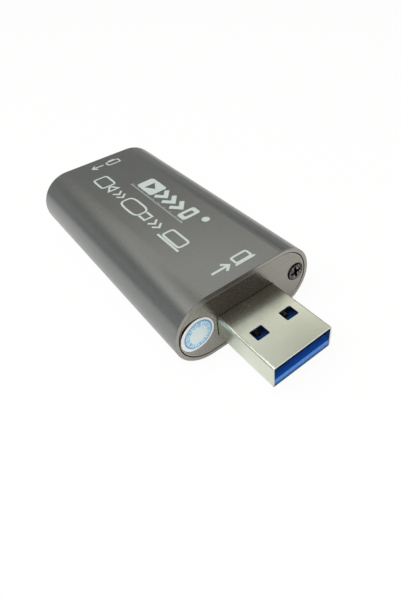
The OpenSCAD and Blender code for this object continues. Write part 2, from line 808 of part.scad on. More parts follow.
// Two rows of ceramic capacitors along the capture chip
module ceramic_capacitors() {
    color(ceramic) for (u = row_places(ceramic_count, ceramic_pitch), side = [-1, 1])
        on_board([capture_at[0] + u, side * ceramic_y]) capped_block(ceramic_size, ceramic_cap_l);
}

// Row of chip resistors between the socket and the capture chip
module chip_resistors() {
    color(epoxy) for (v = row_places(resistor_count, resistor_pitch))
        on_board([resistor_x, v]) part_box(resistor_size);
}

// Row of surge arrays behind the socket's contacts
module surge_arrays() {
    color(epoxy) for (v = row_places(surge_count, surge_pitch)) on_board([surge_x, v]) part_box(surge_size);
}

// Two chokes in the lines to the plug
module line_chokes() {
    color(ferrite) for (at = choke_at) on_board(at) capped_block(choke_size, ceramic_cap_l);
}

sleeve();
plug_end_plate();
socket_end_plate();
plug_plate_screws();
socket_plate_screws();
tamper_seal();
plug_shell();
plug_tongue();
plug_flat_contacts();
plug_spring_tails();
plug_contact_springs();
socket_shell();
socket_tongue();
socket_upper_contacts();
socket_lower_contacts();
socket_upper_fingers();
socket_lower_fingers();
circuit_board();
capture_chip();
capture_chip_leads();
memory_chip();
memory_chip_leads();
clock_crystal();
voltage_regulators();
regulator_leads();
power_inductors();
tantalum_capacitors();
ceramic_capacitors();
chip_resistors();
surge_arrays();
line_chokes();
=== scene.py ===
# %% [markdown]
# # A video capture box, dressed in Blender
# The solids come from CAD: a flat aluminium sleeve with round sides, an end plate at each end, a plug for a
# computer, a socket for a video cable and the board between them. This lesson gives every solid its finish
# and adds what a machinist doesn't make: painted marks, a paper seal, the light and the camera. One could
# model the whole box again as smooth meshes, but the CAD solids already have the right sizes and bends, so
# the script loads them as a fixed frame and only dresses them. The loaded box is kept, to compare sizes at
# the end.

# %% Load the frame
import json
import math

import bmesh
import bpy
import numpy as np
from mathutils import Matrix, Vector


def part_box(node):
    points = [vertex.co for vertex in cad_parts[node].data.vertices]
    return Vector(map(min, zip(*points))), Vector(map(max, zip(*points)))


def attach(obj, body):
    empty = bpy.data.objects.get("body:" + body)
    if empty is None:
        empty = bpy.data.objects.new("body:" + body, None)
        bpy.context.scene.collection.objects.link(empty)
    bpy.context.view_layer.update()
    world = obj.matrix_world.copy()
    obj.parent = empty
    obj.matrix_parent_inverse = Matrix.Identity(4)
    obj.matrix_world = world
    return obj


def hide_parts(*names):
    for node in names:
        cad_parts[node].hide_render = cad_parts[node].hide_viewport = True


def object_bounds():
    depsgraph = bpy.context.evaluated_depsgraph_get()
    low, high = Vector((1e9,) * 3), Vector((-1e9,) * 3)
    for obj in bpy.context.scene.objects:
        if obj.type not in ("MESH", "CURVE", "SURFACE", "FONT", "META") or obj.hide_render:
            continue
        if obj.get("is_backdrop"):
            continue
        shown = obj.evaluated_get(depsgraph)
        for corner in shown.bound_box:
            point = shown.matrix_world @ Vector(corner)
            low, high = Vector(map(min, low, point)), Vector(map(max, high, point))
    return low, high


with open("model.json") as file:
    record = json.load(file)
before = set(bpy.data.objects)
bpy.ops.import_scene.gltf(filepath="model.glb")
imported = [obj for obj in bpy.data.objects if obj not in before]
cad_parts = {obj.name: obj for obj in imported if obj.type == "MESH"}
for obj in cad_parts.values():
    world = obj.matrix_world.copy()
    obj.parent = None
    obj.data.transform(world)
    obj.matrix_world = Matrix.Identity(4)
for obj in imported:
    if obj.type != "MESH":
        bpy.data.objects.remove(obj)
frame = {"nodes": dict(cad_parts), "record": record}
cad_low, cad_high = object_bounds()
nodes = frame["nodes"]
MM = 0.001
print(len(nodes), "nodes, CAD box in mm:", [round((b - a) / MM, 2) for a, b in zip(cad_low, cad_high)])

# %% [markdown]
# ## Places that the finishes and marks need
# Each place that a finish or the seal needs is read from the solids' own boxes, in metres, so that a
# changed model moves it along with the metal. Only the printed signs have places of their own on the top.

# %% Read places from the solids
sleeve_low, sleeve_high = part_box("sleeve")
plate_low, plate_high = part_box("plug_end_plate")
plug_low, plug_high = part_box("plug_shell")
tongue_low, tongue_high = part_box("plug_tongue")
seal_low, seal_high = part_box("tamper_seal")
screws_low, screws_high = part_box("plug_plate_screws")
chip_low, chip_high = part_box("capture_chip")
memory_low, memory_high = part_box("memory_chip")
sleeve_mid = (sleeve_low + sleeve_high) / 2
top_z = sleeve_high.z
print("sleeve top at %.2f mm, plate face at %.2f mm" % (top_z / MM, plate_high.x / MM))

# %% [markdown]
# ## Small helpers for node trees
# A finish is a tree of shader nodes. Writing each node by hand takes many lines, so one helper makes a
# node, sets its properties and links or fills its inputs. The others are the few building blocks that every
# finish here uses: a noise in Object coordinates, a soft step, a mix of two colours, a bump and a normal
# that is turned.

# %% Node helpers
def new_finish(name, **sockets):
    """A material and its Principled shader, with plain values set on the shader's own sockets."""
    material = bpy.data.materials.new(name)
    material.use_nodes = True
    shader = material.node_tree.nodes["Principled BSDF"]
    for socket, value in sockets.items():
        shader.inputs[socket.replace("_", " ")].default_value = value
    return material, material.node_tree, shader


def add(tree, kind, inputs=None, **settings):
    """A node: settings go to its properties, and inputs are linked or filled by name or number."""
    made = tree.nodes.new(kind)
    for key, value in settings.items():
        setattr(made, key, value)
    for key, value in (inputs or {}).items():
        if isinstance(value, bpy.types.NodeSocket):
            tree.links.new(value, made.inputs[key])
        else:
            made.inputs[key].default_value = value
    return made


def here(tree):
    """Object coordinates: metres in the frame that the CAD solids share."""
    return add(tree, "ShaderNodeTexCoord").outputs["Object"]


def axes(tree, vector):
    """The x, y and z of a vector."""
    return add(tree, "ShaderNodeSeparateXYZ", {0: vector}).outputs


print("first node helpers ready")

# %% More node helpers
def grain(tree, size, stretch=(1, 1, 1), detail=2.0, roughness=0.5):
    """Noise with lumps of that size in metres, drawn out along an axis by a stretch above 1."""
    scale = tuple(1 / (size * s) for s in stretch)
    place = add(tree, "ShaderNodeMapping", {"Vector": here(tree), "Scale": scale})
    noise = add(tree, "ShaderNodeTexNoise", {"Vector": place.outputs[0], "Scale": 1.0, "Detail": detail,
                                             "Roughness": roughness})
    return noise.outputs["Fac"]


def step(tree, value, low, high, first=0.0, last=1.0):
    """From first to last while value goes from low to high, on an S of three squares less two cubes."""
    inputs = {"Value": value, "From Min": low, "From Max": high, "To Min": first, "To Max": last}
    return add(tree, "ShaderNodeMapRange", inputs, interpolation_type="SMOOTHSTEP").outputs[0]


def mix(tree, share, first, last):
    """The first colour where share is 0 and the last where it is 1."""
    def rgba(colour):
        return colour if isinstance(colour, bpy.types.NodeSocket) else (*colour, 1)
    made = add(tree, "ShaderNodeMix", {0: share, 6: rgba(first), 7: rgba(last)}, data_type="RGBA")
    return made.outputs[2]


def sum_up(tree, kind, first, last):
    """One kind of sum on two values; a kind that takes one value gets 0.0 as the second."""
    return add(tree, "ShaderNodeMath", {0: first, 1: last}, operation=kind).outputs[0]


def far(tree, first, last):
    """The root of the sum of two squares."""
    first, last = sum_up(tree, "MULTIPLY", first, first), sum_up(tree, "MULTIPLY", last, last)
    return sum_up(tree, "SQRT", sum_up(tree, "ADD", first, last), 0.0)


def bump(tree, shader, height, depth, strength):
    """Lets a height of 0 to 1 stand for that depth in metres on the shader's normal."""
    inputs = {"Height": height, "Distance": depth, "Strength": strength}
    normal = add(tree, "ShaderNodeBump", inputs).outputs[0]
    tree.links.new(normal, shader.inputs["Normal"])
    return normal


def use_normal(tree, shader, vector):
    """Makes a vector one unit long and takes it as the shader's normal."""
    unit = add(tree, "ShaderNodeVectorMath", {0: vector}, operation="NORMALIZE").outputs[0]
    tree.links.new(unit, shader.inputs["Normal"])


print("node helpers ready")

# %% [markdown]
# ## Sand-blasted, anodised aluminium
# The sleeve and the end plates are blasted with fine grit and then anodised in a warm gunmetal grey.
# Blasting leaves dull dimples of about a tenth of a millimetre, which blur every reflection into a soft
# sheen. A brushed texture would be wrong here, because grit has no direction, so a round noise drives the
# bump and a slight change of tone. A second, much larger noise keeps the long top from looking poured. The
# sleeve's rim looks paler, as if it was sawn to length and its edges broken with a file, so a mask along X
# shows paler metal there, broken up a little by noise. With its own normal the broken edge didn't get the
# tone that the photograph shows, so the normal leans to the end there: a fit, not a measured shape. A pale
# line runs along the plate's edge as a painted highlight, where a small bevel would catch the light: a mask
# on the distance from a plate's outline draws it.

# %% Anodised finish
def anodised(name, dark, light, dull, ends=None, outline=None):
    """Metal between two tones with grit dimples; dull is its lowest roughness. Beyond the two x of ends it
    is sawn. Along an outline with round sides, of that half width, radius and middle z, a pale line of
    painted highlight runs."""
    material, tree, shader = new_finish(name, Metallic=0.92)
    grit = grain(tree, 0.11 * MM, detail=3)
    cloud = grain(tree, 14 * MM, detail=2)
    colour = mix(tree, step(tree, grit, 0.25, 0.75), dark, light)
    colour = mix(tree, step(tree, cloud, 0.3, 0.7, 0.0, 0.35), colour, light)
    rough = step(tree, grit, 0.3, 0.7, dull, dull + 0.08)
    if ends:
        fade = 0.03 * MM
        x = axes(tree, here(tree))["X"]
        broken = sum_up(tree, "ADD", step(tree, x, ends[0] + fade, ends[0]),
                        step(tree, x, ends[1] - fade, ends[1]))
        sawn = sum_up(tree, "MULTIPLY", broken, step(tree, grain(tree, 0.9 * MM), 0.25, 0.5, 0.7, 1.0))
        colour = mix(tree, sawn, colour, (0.33, 0.32, 0.295))
    if outline:
        half_width, radius, middle = outline
        place = axes(tree, here(tree))
        beyond = sum_up(tree, "SUBTRACT", sum_up(tree, "ABSOLUTE", place["Y"], 0.0), half_width - radius)
        way = far(tree, sum_up(tree, "MAXIMUM", beyond, 0.0), sum_up(tree, "SUBTRACT", place["Z"], middle))
        # Painted highlight: a pale, rougher line along the plate's edge.
        edge_highlight = step(tree, way, radius - 0.20 * MM, radius - 0.06 * MM)
        colour = mix(tree, edge_highlight, colour, (0.44, 0.41, 0.38))
        rough = sum_up(tree, "ADD", rough, sum_up(tree, "MULTIPLY", edge_highlight, 0.25))
    tree.links.new(colour, shader.inputs["Base Color"])
    tree.links.new(rough, shader.inputs["Roughness"])
    normal = bump(tree, shader, grit, 0.010 * MM, 0.5)
    if ends:
        outward = add(tree, "ShaderNodeCombineXYZ", {"X": sum_up(tree, "SIGN", x, 0.0)}).outputs[0]
        lean = add(tree, "ShaderNodeMix", {0: broken, 4: normal, 5: outward}, data_type="VECTOR").outputs[1]
        use_normal(tree, shader, lean)
    return material


chamfer = 0.1 * MM
sleeve_finish = anodised("anodised_sleeve", (0.190, 0.204, 0.201), (0.224, 0.240, 0.237), 0.26,
                         ends=(sleeve_low.x + chamfer, sleeve_high.x - chamfer))
plate_finish = anodised("anodised_plate", (0.255, 0.250, 0.223), (0.301, 0.295, 0.263), 0.21,
                        outline=(plate_high.y, (plate_high.z - plate_low.z) / 2, sleeve_mid.z))
print("anodised:", sleeve_finish.name, plate_finish.name)

# %% [markdown]
# ## Blackened steel screws
# The screws are black. The face of the raised head is greyer, as a driver leaves it when it rubs the black
# off. Its margin and the bottom of its cross are painted darker than the oxide: painted shade for the gap
# round the head and in the recess. The heads lie at known places, so a mask along X tells the face from its
# recess, and one on the distance from the screw's axis finds the margin. Noise breaks the worn places up,
# because a driver never wears metal evenly.

# %% Screw finish
def blackened(name, low, high, face_x, inward):
    """Black oxide on a pair of screws in the box from low to high: worn grey on the face at face_x, with
    painted shade below it and round its margin; inward is +1 or -1 along x."""
    material, tree, shader = new_finish(name, Metallic=0.95)
    place = axes(tree, here(tree))
    depth = sum_up(tree, "MULTIPLY", sum_up(tree, "SUBTRACT", place["X"], face_x), inward)
    radius = (high.z - low.z) / 2
    off_axis = sum_up(tree, "SUBTRACT", sum_up(tree, "ABSOLUTE", place["Y"], 0.0), high.y - radius)
    way = far(tree, off_axis, sum_up(tree, "SUBTRACT", place["Z"], (high.z + low.z) / 2))
    # Painted shade: near black in the cross's recess and round the head's margin.
    recess_and_rim_shade = sum_up(tree, "MAXIMUM", step(tree, depth, 0.02 * MM, 0.08 * MM),
                  step(tree, way, radius - 0.34 * MM, radius - 0.22 * MM))
    rub = step(tree, grain(tree, 0.35 * MM, detail=4), 0.42, 0.62)
    face = mix(tree, rub, (0.05, 0.05, 0.053), (0.23, 0.23, 0.23))
    tree.links.new(mix(tree, recess_and_rim_shade, face, (0.012, 0.012, 0.014)), shader.inputs["Base Color"])
    tree.links.new(step(tree, rub, 0.0, 1.0, 0.42, 0.24), shader.inputs["Roughness"])
    bump(tree, shader, grain(tree, 0.09 * MM, detail=3), 0.012 * MM, 0.6)
    return material


socket_screws_low, socket_screws_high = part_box("socket_plate_screws")
plug_screw_finish = blackened("blackened_plug_screws", screws_low, screws_high, screws_high.x, -1)
socket_screw_finish = blackened("blackened_socket_screws", socket_screws_low, socket_screws_high,
                                socket_screws_low.x, 1)
print("screw heads at x %.2f and %.2f mm" % (screws_high.x / MM, socket_screws_low.x / MM))

# %% [markdown]
# ## Nickel plate
# The plug's shell and the socket's shell are stamped from thin sheet and plated with satin nickel, which is
# a little yellower than steel. The sheet was rolled, so its faint lines run along the plug. Anisotropy
# would give one long streak, but the real plate only shows a soft, cloudy grain, so a noise drawn out along
# X drives roughness and a very shallow bump, and a broad noise changes the tone as handling does. The shell
# is folded round from one sheet: the two edges meet in a thin seam along the middle of the underside. The
# lower lip of the plug's mouth is painted dark: painted shade for the shadow that falls on it. A flat
# shell didn't give the reflections that the photograph shows near the box, so the normal is tilted there by
# two or three degrees towards the mouth, by a ramp along X. Stamped sheet that isn't quite flat could be
# the cause, but that is a guess.

# %% Nickel finish
def nickel(name, seam=None, lip=None, lean=None):
    """Satin nickel. Below the z of seam the fold's butt joint shows, and beyond the x and below the z of
    lip the cut edge is painted dark as shade. Up to the first x of lean the normal leans by its share, and
    by the second x it stands straight."""
    material, tree, shader = new_finish(name, Metallic=1.0)
    place = axes(tree, here(tree))
    lines = grain(tree, 0.08 * MM, stretch=(6, 1, 1), detail=3)
    cloud = grain(tree, 4 * MM, detail=3)
    colour = mix(tree, step(tree, cloud, 0.3, 0.7), (0.640, 0.690, 0.594), (0.687, 0.742, 0.641))
    colour = mix(tree, step(tree, lines, 0.3, 0.7, 0.0, 0.15), colour, (0.560, 0.600, 0.510))
    handled = step(tree, cloud, 0.3, 0.7, 0.03, 0.0)
    rough = sum_up(tree, "ADD", step(tree, lines, 0.25, 0.75, 0.20, 0.25), handled)
    height = sum_up(tree, "ADD", lines, grain(tree, 0.2 * MM, stretch=(1.5, 1, 1), detail=2))
    if seam is not None:
        tooth, swing = 3 * MM, 0.55 * MM
        along = sum_up(tree, "PINGPONG", place["X"], tooth)
        wave = step(tree, along, 1.0 * MM, 1.6 * MM, -swing, swing)
        across = sum_up(tree, "ABSOLUTE", sum_up(tree, "SUBTRACT", place["Y"], wave), 0.0)
        joint = sum_up(tree, "MULTIPLY", step(tree, across, 0.02 * MM, 0.06 * MM, 1, 0),
                       step(tree, place["Z"], seam, seam + 0.02 * MM, 1, 0))
        colour = mix(tree, joint, colour, (0.10, 0.095, 0.085))
        height = sum_up(tree, "SUBTRACT", height, sum_up(tree, "MULTIPLY", joint, 4.0))
    if lip is not None:
        # Painted shade: the lower lip of the mouth goes dark.
        lip_shade = sum_up(tree, "MULTIPLY", step(tree, place["X"], lip[0] - 0.03 * MM, lip[0]),
                      step(tree, place["Z"], lip[1], lip[1] + 0.1 * MM, 1, 0))
        colour = mix(tree, lip_shade, colour, (0.10, 0.11, 0.12))
    tree.links.new(colour, shader.inputs["Base Color"])
    tree.links.new(rough, shader.inputs["Roughness"])
    normal = bump(tree, shader, height, 0.003 * MM, 0.5)
    if lean is not None:
        share = step(tree, place["X"], lean[0], lean[1], lean[2], 0)
        tilt = add(tree, "ShaderNodeCombineXYZ", {"X": share}).outputs[0]
        leaning = add(tree, "ShaderNodeVectorMath", {0: normal, 1: tilt}, operation="ADD").outputs[0]
        use_normal(tree, shader, leaning)
    return material


root_lean = (plate_high.x + 3.5 * MM, plate_high.x + 6.5 * MM, 0.045)
plug_nickel = nickel("nickel_plug_shell", seam=plug_low.z + 0.05 * MM,
                     lip=(plug_high.x - 0.02 * MM, tongue_low.z), lean=root_lean)
socket_nickel = nickel("nickel_socket_shell")
print("nickel:", plug_nickel.name, socket_nickel.name)

# %% [markdown]
# ## Moulded plastics
# Two insulators show: the blue tongue in the plug and the black one in the socket. Both are injection
# moulded, so they have a satin skin with a faint spark-eroded grain and edges that catch a little light. A
# flat colour would look like paper, so a fine noise gives the skin its bump, and a broad one lets the
# colour swim a little, as it does where the melt flowed round the contacts. The front face of the blue
# tongue is painted paler: painted light, where the light from in front falls on it. Further in, the
# photograph shows it darker than the light here does, so the colour goes over to a dark one: painted shade,
# a fit to that tone.

# %% Plastic finish
def moulded(name, dark, light, gloss, size=0.06 * MM, fades=()):
    """Satin plastic between two colours; gloss is its lowest roughness and size that of the skin's grain.
    Each row of fades has two x and the colour that it goes over to from the first x to the second."""
    material, tree, shader = new_finish(name)
    skin = grain(tree, size, detail=3)
    flow = grain(tree, 3.5 * MM, stretch=(2, 1, 1), detail=3)
    colour = mix(tree, step(tree, flow, 0.25, 0.75), dark, light)
    colour = mix(tree, step(tree, skin, 0.35, 0.8, 0, 0.18), colour, light)
    for start, end, tone in fades:
        colour = mix(tree, step(tree, axes(tree, here(tree))["X"], start, end), colour, tone)
    tree.links.new(colour, shader.inputs["Base Color"])
    tree.links.new(step(tree, skin, 0.3, 0.7, gloss, gloss + 0.12), shader.inputs["Roughness"])
    bump(tree, shader, skin, 0.006 * MM, 0.4)
    return material


# Painted light on the front face of the tongue, and painted shade deeper in the plug.
painted_light_front = (tongue_high.x - 0.08 * MM, tongue_high.x - 0.02 * MM, (0.003, 0.190, 0.660))
painted_depth_shade = (tongue_high.x - 1.0 * MM, tongue_high.x - 4.5 * MM, (0.016, 0.055, 0.210))
blue_tongue = moulded("blue_tongue_plastic", (0.001, 0.070, 0.420), (0.002, 0.085, 0.480), 0.26,
                      fades=(painted_light_front, painted_depth_shade))
black_tongue = moulded("black_tongue_plastic", (0.016, 0.016, 0.018), (0.030, 0.030, 0.033), 0.40)
print("plastics:", blue_tongue.name, black_tongue.name)

# %% [markdown]
# ## Gold and tin on the contacts
# Contacts wear: each time a plug goes in, the thin gold is polished along the way it slides. The leads on
# the board are dipped in tin, which dries in soft, uneven drops. Both finishes are one recipe with
# different colours: lines along X for wiping, lumps for tin.

# %% Contact finishes
def plated(name, dark, light, size, stretch, gloss):
    """Plated metal between two colours, with lumps or lines of that size and stretch."""
    material, tree, shader = new_finish(name, Metallic=1.0)
    marks = grain(tree, size, stretch=stretch, detail=3)
    cloud = grain(tree, 1.6 * MM, detail=2)
    colour = mix(tree, step(tree, cloud, 0.3, 0.7), dark, light)
    colour = mix(tree, step(tree, marks, 0.4, 0.75, 0, 0.4), colour, dark)
    tree.links.new(colour, shader.inputs["Base Color"])
    tree.links.new(step(tree, marks, 0.3, 0.7, gloss, gloss + 0.16), shader.inputs["Roughness"])
    bump(tree, shader, marks, 0.005 * MM, 0.5)
    return material


gold = plated("gold_contacts", (0.72, 0.50, 0.17), (0.87, 0.66, 0.28), 0.05 * MM, (20, 1, 1), 0.18)
tin = plated("tinned_leads", (0.60, 0.60, 0.61), (0.76, 0.76, 0.77), 0.14 * MM, (1, 1, 1), 0.24)
print("plated:", gold.name, tin.name)

# %% [markdown]
# ## The board and what is soldered to it
# The board is glass cloth and resin under green solder mask. Copper tracks lie under the mask and show as
# slightly lighter, raised lanes, and the sawn edges show the pale laminate. Drawing real tracks would take
# hundreds of curves that the closed sleeve hides, so a brick pattern in Object coordinates gives lanes with
# gaps, and the surface's own normal tells the masked faces from the sawn edges.

# %% Board finish
board_finish, tree, shader = new_finish("green_board_mask", Coat_Weight=0.3)
bricks = {"Vector": here(tree), "Scale": 1.0, "Mortar Size": 0.12 * MM, "Mortar Smooth": 0.3,
          "Brick Width": 3.1 * MM, "Row Height": 0.55 * MM, "Bias": 0.0}
lanes = add(tree, "ShaderNodeTexBrick", bricks, offset=0.37, squash=1.6, squash_frequency=3)
lane = lanes.outputs["Fac"]
weave = grain(tree, 0.3 * MM, stretch=(3, 1, 1), detail=3)
mask_colour = mix(tree, lane, (0.020, 0.150, 0.070), (0.012, 0.095, 0.045))
mask_colour = mix(tree, step(tree, weave, 0.4, 0.8, 0, 0.25), mask_colour, (0.040, 0.200, 0.100))
up = axes(tree, add(tree, "ShaderNodeNewGeometry").outputs["Normal"])["Z"]
face = step(tree, sum_up(tree, "ABSOLUTE", up, 0.0), 0.4, 0.6)
tree.links.new(mix(tree, face, (0.46, 0.43, 0.26), mask_colour), shader.inputs["Base Color"])
tree.links.new(step(tree, weave, 0.3, 0.7, 0.28, 0.42), shader.inputs["Roughness"])
bump(tree, shader, sum_up(tree, "SUBTRACT", step(tree, weave, 0, 1, 0, 0.3), lane), 0.02 * MM, 0.6)
print("board:", board_finish.name)

# %% [markdown]
# ## Chip bodies
# Chips are moulded in black epoxy filled with glass powder, so they are dull and slightly speckled. A round
# dimple marks the first lead. It is a mask on the distance from one corner, which is enough at this size,
# and needs no extra mesh.

# %% Chip finish
def epoxy(name, corner=None, dimple_r=0.45 * MM):
    """Dull black epoxy; corner is the middle of the dimple that marks the first lead."""
    material, tree, shader = new_finish(name, Specular_IOR_Level=0.35)
    powder = grain(tree, 0.08 * MM, detail=4, roughness=0.7)
    colour = mix(tree, step(tree, powder, 0.45, 0.75), (0.020, 0.020, 0.022), (0.055, 0.055, 0.058))
    height = powder
    if corner is not None:
        apart = add(tree, "ShaderNodeVectorMath", {0: here(tree), 1: tuple(corner)}, operation="DISTANCE")
        dimple = step(tree, apart.outputs["Value"], 0.9 * dimple_r, dimple_r, 1, 0)
        colour = mix(tree, dimple, colour, (0.075, 0.075, 0.078))
        height = sum_up(tree, "SUBTRACT", powder, sum_up(tree, "MULTIPLY", dimple, 3.0))
    tree.links.new(colour, shader.inputs["Base Color"])
    tree.links.new(step(tree, powder, 0.3, 0.7, 0.50, 0.68), shader.inputs["Roughness"])
    bump(tree, shader, height, 0.010 * MM, 0.5)
    return material


inset = Vector((0.9 * MM, 0.9 * MM, 0))
capture_finish = epoxy("epoxy_capture_chip", Vector((chip_low.x, chip_low.y, chip_high.z)) + inset)
memory_finish = epoxy("epoxy_memory_chip", Vector((memory_low.x, memory_low.y, memory_high.z)) + inset)
small_chip_finish = epoxy("epoxy_small_parts")
ferrite = moulded("ferrite_blocks", (0.060, 0.060, 0.066), (0.105, 0.105, 0.112), 0.55, size=0.10 * MM)
amber = moulded("amber_capacitors", (0.50, 0.27, 0.035), (0.62, 0.37, 0.070), 0.40, size=0.08 * MM)
tan = moulded("tan_capacitors", (0.33, 0.235, 0.140), (0.42, 0.315, 0.205), 0.30, size=0.05 * MM)
print("chips:", capture_finish.name, memory_finish.name, small_chip_finish.name)

# %% [markdown]
# ## Every solid takes its finish
# Most solids follow the material slot that the record gives them. A few have a finish of their own, because
# it needs to know where that solid lies, so those are named one by one.

# %% Assign the finishes
by_slot = {"anodised_aluminium": plate_finish, "blackened_steel": plug_screw_finish,
           "nickel_plate": socket_nickel, "blue_plastic": blue_tongue, "black_plastic": black_tongue,
           "gold_plate": gold, "tinned_lead": tin, "green_board": board_finish,
           "chip_epoxy": small_chip_finish, "grey_ferrite": ferrite, "amber_epoxy": amber,
           "tan_ceramic": tan}
by_node = {"sleeve": sleeve_finish, "socket_plate_screws": socket_screw_finish, "plug_shell": plug_nickel,
           "capture_chip": capture_finish, "memory_chip": memory_finish}
for part in frame["record"]["subparts"]:
    finish = by_node.get(part["node"], by_slot.get(part["material_slot"]))
    if finish is not None:
        nodes[part["node"]].data.materials.clear()
        nodes[part["node"]].data.materials.append(finish)
print("finished", sum(bool(n.data.materials) for n in nodes.values()), "solids")

# %% [markdown]
# ## From arrays to pieces
# New pieces are worked out as whole arrays: a shape is a grid of points, and its faces are the squares of
# that grid. One helper numbers the squares, and one puts points and faces into a mesh whose object stays at
# the origin, so that Object coordinates mean the same on it as on the solids. Where a grid runs together in
# a pole, its points are merged into one, so that no pinhole is left.

# %% Grid and mesh helpers
def squares(rows, columns, round_rows=False, round_columns=False):
    """The four corner numbers of each square of a grid, which closes on itself where it is round."""
    row = np.arange(rows if round_rows else rows - 1)[:, None]
    column = np.arange(columns if round_columns else columns - 1)[None, :]
    below, right = (row + 1) % rows, (column + 1) % columns
    return np.stack([row * columns + column, below * columns + column,
                     below * columns + right, row * columns + right], axis=-1).reshape(-1, 4)


together = 0.0001 * MM


def put(name, points, faces, finish):
    """A mesh piece of these points and faces that rides on the box; points that lie together become one."""
    mesh = bpy.data.meshes.new(name)
    mesh.from_pydata(points.tolist(), [], faces.tolist())
    work = bmesh.new()
    work.from_mesh(mesh)
    bmesh.ops.remove_doubles(work, verts=work.verts, dist=together)
    work.to_mesh(mesh)
    work.free()
    mesh.materials.append(finish)
    piece = bpy.data.objects.new(name, mesh)
    bpy.context.scene.collection.objects.link(piece)
    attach(piece, "box")
    print(name, len(mesh.vertices), "points,", len(mesh.polygons), "faces")
    return piece


print("a grid of 3 by 4 points has", len(squares(3, 4)), "squares")

# %% [markdown]
# ## Lines of paint
# The marks on the top are screen printed: a mesh lays a film of white paint two hundredths of a millimetre
# thick. A decal picture would be quick, but it is only as sharp as its pixels, so each line is a ribbon
# with real edges. A ribbon is a path with two sides. At a corner both sides have to move along the mitre,
# or the line gets thin there.

# %% Ribbons and bands
def ribbon(path, width, closed=False):
    """Each path point moved half the width to either side along its mitre: the sum of the two neighbouring
    unit normals, divided by one plus their dot product, which a limit keeps from getting too small at a
    sharp corner. An open path's ends have only one normal. The right side comes first, so that the faces
    point up."""
    path, limit = np.asarray(path, float), 0.35
    ahead = np.roll(path, -1, 0) - path
    normal = np.stack([-ahead[:, 1], ahead[:, 0]], 1) / np.linalg.norm(ahead, axis=1, keepdims=True)
    before, after = np.roll(normal, 1, 0), normal
    if not closed:
        before, after = before.copy(), after.copy()
        before[0], after[-1] = after[0], before[-1]
    mitre = (before + after) / np.maximum(1 + (before * after).sum(1, keepdims=True), limit)
    points = np.stack([path - mitre * width / 2, path + mitre * width / 2], 1).reshape(-1, 2)
    return points, squares(len(path), 2, round_rows=closed)


def between(outer, inner):
    """The flat band between two closed outlines with as many points each, ruled from one to the other."""
    return np.stack([outer, inner], 1).reshape(-1, 2), squares(len(outer), 2, round_rows=True)


print("a ribbon along 3 points has", len(ribbon([[0, 0], [1, 0], [1, 1]], 0.1)[1]), "faces")

# %% Closed outlines
turns = np.linspace(0, 2 * np.pi, 96, endpoint=False)


def pillow(width, height, power=7.0):
    """A rectangle with soft corners: the polar form of |x/a|^p + |y/b|^p = 1."""
    c, s = np.cos(turns), np.sin(turns)
    radius = (np.abs(2 * c / width) ** power + np.abs(2 * s / height) ** power) ** (-1 / power)
    return np.stack([radius * c, radius * s], 1)


def circle(radius):
    """A circle: the radius times the cosine and the sine of each turn."""
    return np.stack([radius * np.cos(turns), radius * np.sin(turns)], 1)


def facing_triangle(size):
    """A triangle that points along +x, in polar form: the nearest of its three edges along each ray."""
    edge, grazing = np.array([np.pi / 3, -np.pi / 3, np.pi]), 0.05
    facing = np.cos(turns[:, None] - edge[None, :])
    radius = np.min(np.where(facing > grazing, size / np.maximum(facing, grazing), np.inf), 1)
    return np.stack([radius * np.cos(turns), radius * np.sin(turns)], 1)


print("outlines have", len(turns), "points")

# %% [markdown]
# ## Signs for what goes in and out
# A box like this needs to tell its owner which end takes the video and which goes into the computer. Words
# need a language, so these are plain signs: a screen, a camera, the box, arrows, angle brackets and a
# portable computer. Each sign is a list of flat shapes in millimetres about its own middle.

# %% Brackets and arrows
def chevrons(count, width, height, pitch, line):
    """Angle brackets in a row that point along +x."""
    corner = np.array([[-width / 2, -height / 2], [width / 2, 0], [-width / 2, height / 2]])
    middle = (np.arange(count) - (count - 1) / 2) * pitch
    return [ribbon(corner + [m, 0], line) for m in middle]


def arrow(length, height, line):
    """A shaft and an open head that points along +x."""
    tip = length / 2
    head = np.array([[tip - 0.55 * height, height / 2], [tip, 0], [tip - 0.55 * height, -height / 2]])
    return [ribbon([[-tip, 0], [tip - 0.75 * line, 0]], line), ribbon(head, line)]


print("an arrow is", len(arrow(2, 1, 0.2)), "ribbons")

# %% Screens, a camera and the box
def screen(width, height, line):
    """A screen on a foot."""
    glass = pillow(width, 0.74 * height) + [0, 0.13 * height]
    return [ribbon(glass, line, closed=True),
            ribbon([[-0.25 * width, -height / 2 + line / 2], [0.25 * width, -height / 2 + line / 2]], line)]


def portable(width, height, line):
    """An open portable computer: a lid above a wider base line."""
    lid = pillow(0.78 * width, 0.76 * height) + [0, 0.12 * height]
    return [ribbon(lid, line, closed=True),
            ribbon([[-width / 2, -height / 2 + line / 2], [width / 2, -height / 2 + line / 2]], line)]


def film_camera(width, height, line):
    """A camera from the side: a body and the hood of its lens."""
    body = pillow(0.66 * width, height) + [-0.17 * width, 0]
    hood = np.array([[0.24 * width, 0.06 * height], [0.48 * width, 0.36 * height],
                     [0.48 * width, -0.36 * height], [0.24 * width, -0.06 * height]])
    return [ribbon(body, line, closed=True), ribbon(hood, line, closed=True)]


def small_box(width, height, line):
    """The box itself seen from above, with its plug."""
    body = pillow(0.74 * width, height, 3.5) + [-0.13 * width, 0]
    plug = np.array([[0.27 * width, 0.28 * height], [width / 2, 0.28 * height],
                     [width / 2, -0.28 * height], [0.27 * width, -0.28 * height]])
    return [ribbon(body, line, closed=True), ribbon(plug, line)]


print("a camera is", len(film_camera(2, 1, 0.1)), "ribbons")

# %% [markdown]
# ## Laying the paint
# A sign is set on the top by turning its flat shapes and moving them to their place. Where two lines of a
# sign cross, their films would lie in the same plane and flicker, so each shape lies a micron above the one
# before, and every third starts again. Solidify then gives the film its thickness downwards, into the
# dimples of the metal.

